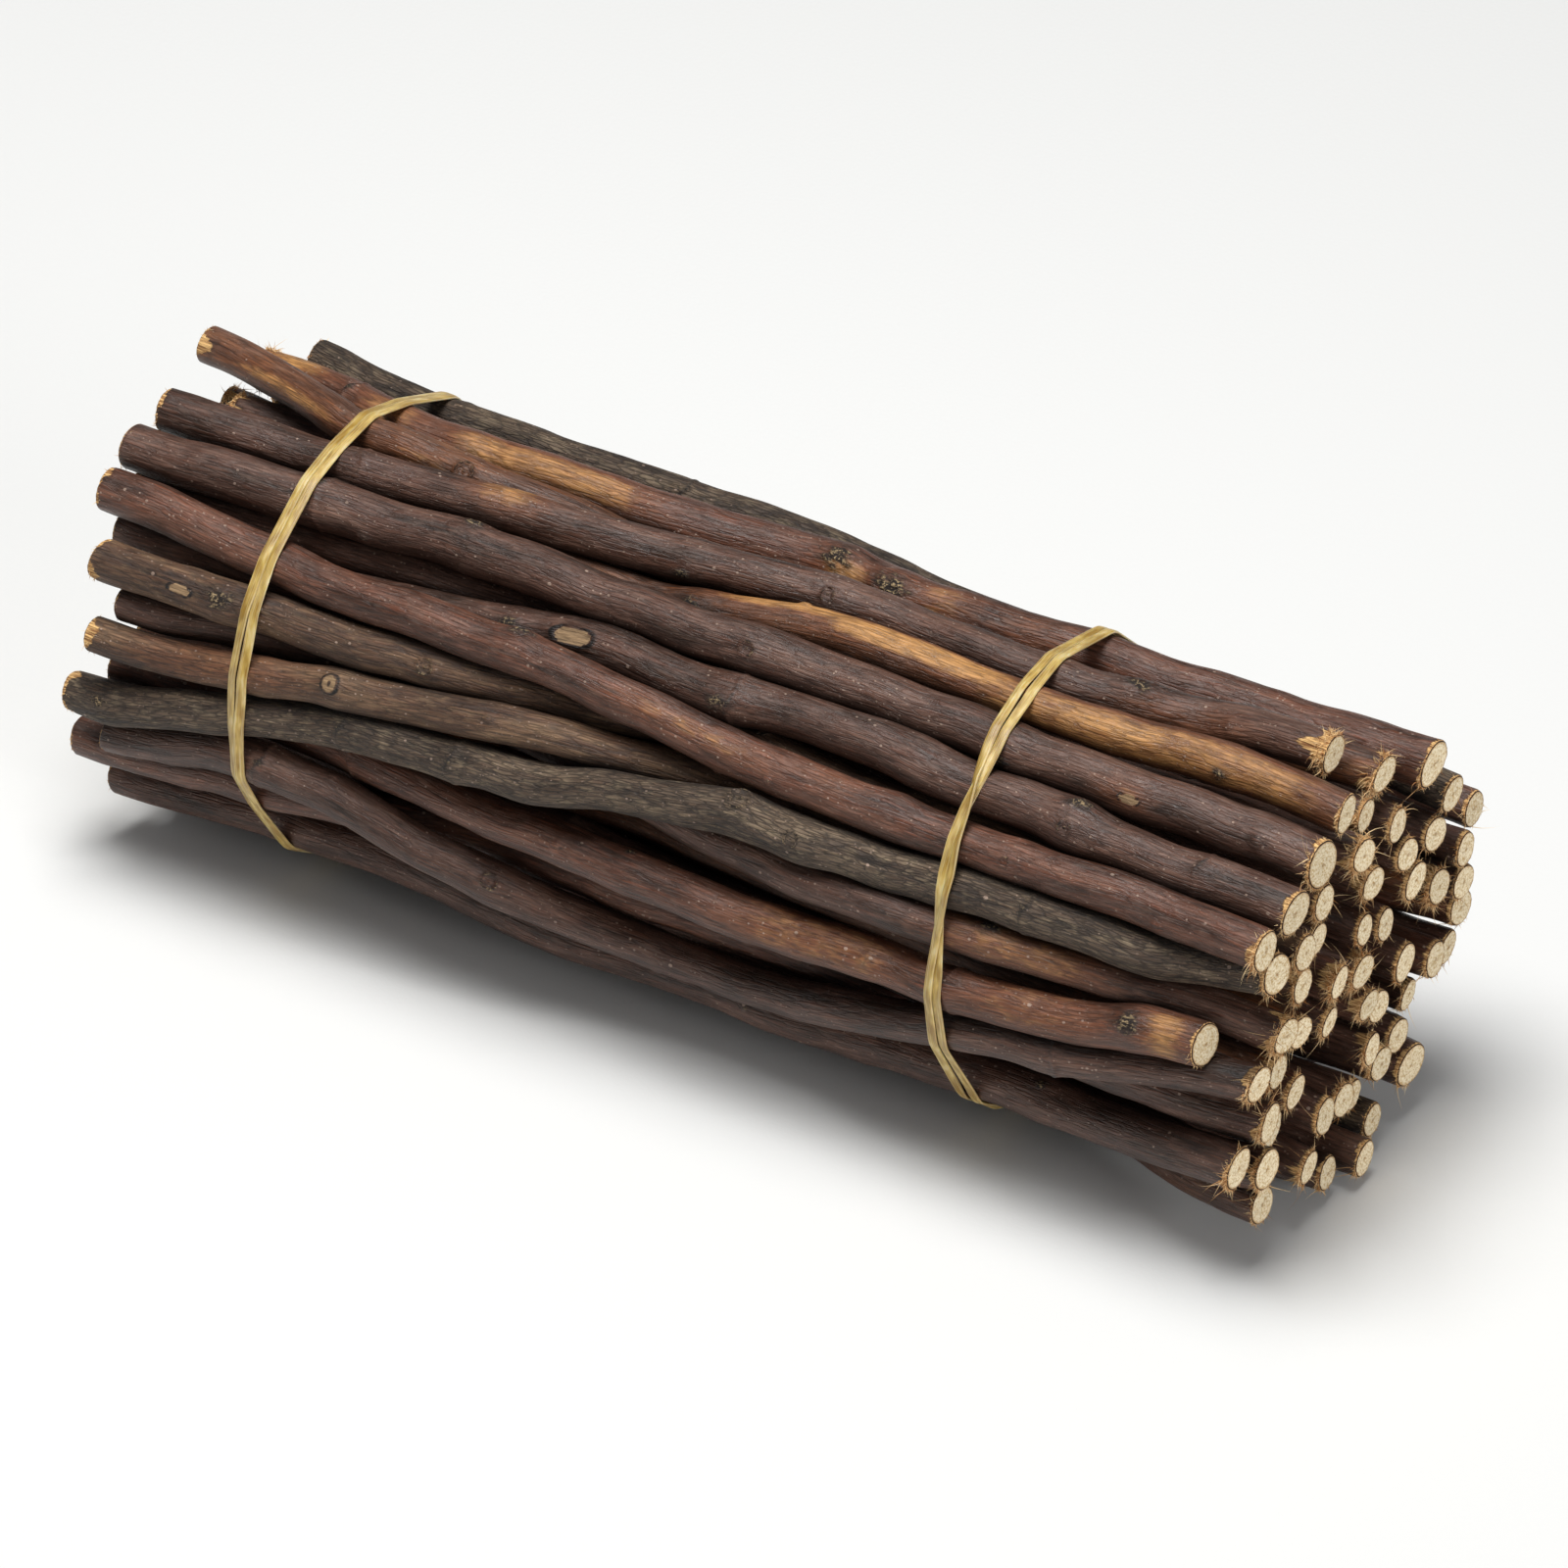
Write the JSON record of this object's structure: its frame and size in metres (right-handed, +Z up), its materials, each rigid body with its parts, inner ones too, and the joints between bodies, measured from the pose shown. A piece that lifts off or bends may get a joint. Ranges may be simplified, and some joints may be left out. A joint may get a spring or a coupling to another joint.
{
  "type": "bundle of twigs",
  "caption": "Bundle of straight-cut, crooked bark-covered twigs with pale sawn ends, lying on its side and held by a doubled rubber band near each end.",
  "frame": {"origin": "middle of the bundle's footprint, on the surface it lies on", "axes": "+X along the twigs towards the more spread sawn ends, +Z up, +Y across the bundle"},
  "size_m": [0.3126, 0.109, 0.1091],
  "materials": {
    "bark_purple_brown": "dark purple-brown willow bark, satin",
    "bark_red_brown": "red-brown willow bark, satin",
    "bark_orange_tan": "brown bark with rubbed orange-tan patches",
    "bark_grey_green": "grey-green bark, matt",
    "rubber_band": "natural latex, yellow-tan, slightly see-through"
  },
  "bodies": {
    "root": {"twig_01": "bark_grey_green", "twig_02": "bark_red_brown", "twig_03": "bark_orange_tan", "twig_04": "bark_purple_brown", "twig_05": "bark_purple_brown", "twig_06": "bark_orange_tan", "twig_07": "bark_red_brown", "twig_08": "bark_purple_brown", "twig_09": "bark_grey_green", "twig_10": "bark_purple_brown", "twig_11": "bark_grey_green", "twig_12": "bark_grey_green", "twig_13": "bark_red_brown", "twig_14": "bark_purple_brown", "twig_15": "bark_purple_brown", "twig_16": "bark_red_brown", "twig_17": "bark_purple_brown", "twig_18": "bark_orange_tan", "twig_19": "bark_purple_brown", "twig_20": "bark_purple_brown", "twig_21": "bark_purple_brown", "twig_22": "bark_purple_brown", "twig_23": "bark_red_brown", "twig_24": "bark_purple_brown", "twig_25": "bark_purple_brown", "twig_26": "bark_purple_brown", "twig_27": "bark_grey_green", "twig_28": "bark_purple_brown", "twig_29": "bark_purple_brown", "twig_30": "bark_purple_brown", "twig_31": "bark_purple_brown", "twig_32": "bark_purple_brown", "twig_33": "bark_purple_brown", "twig_34": "bark_purple_brown", "twig_35": "bark_orange_tan", "twig_36": "bark_purple_brown", "twig_37": "bark_purple_brown", "twig_38": "bark_purple_brown", "twig_39": "bark_purple_brown", "twig_40": "bark_purple_brown", "twig_41": "bark_purple_brown", "twig_42": "bark_red_brown", "twig_43": "bark_purple_brown", "twig_44": "bark_purple_brown", "twig_45": "bark_red_brown", "twig_46": "bark_red_brown", "twig_47": "bark_orange_tan", "twig_48": "bark_purple_brown", "twig_49": "bark_orange_tan", "twig_50": "bark_purple_brown", "twig_51": "bark_purple_brown", "twig_52": "bark_purple_brown", "twig_53": "bark_orange_tan", "twig_54": "bark_red_brown", "twig_55": "bark_purple_brown", "twig_56": "bark_purple_brown", "twig_57": "bark_purple_brown", "twig_58": "bark_purple_brown", "rubber_band_left": "rubber_band", "rubber_band_right": "rubber_band"}
  },
  "joints": []
}
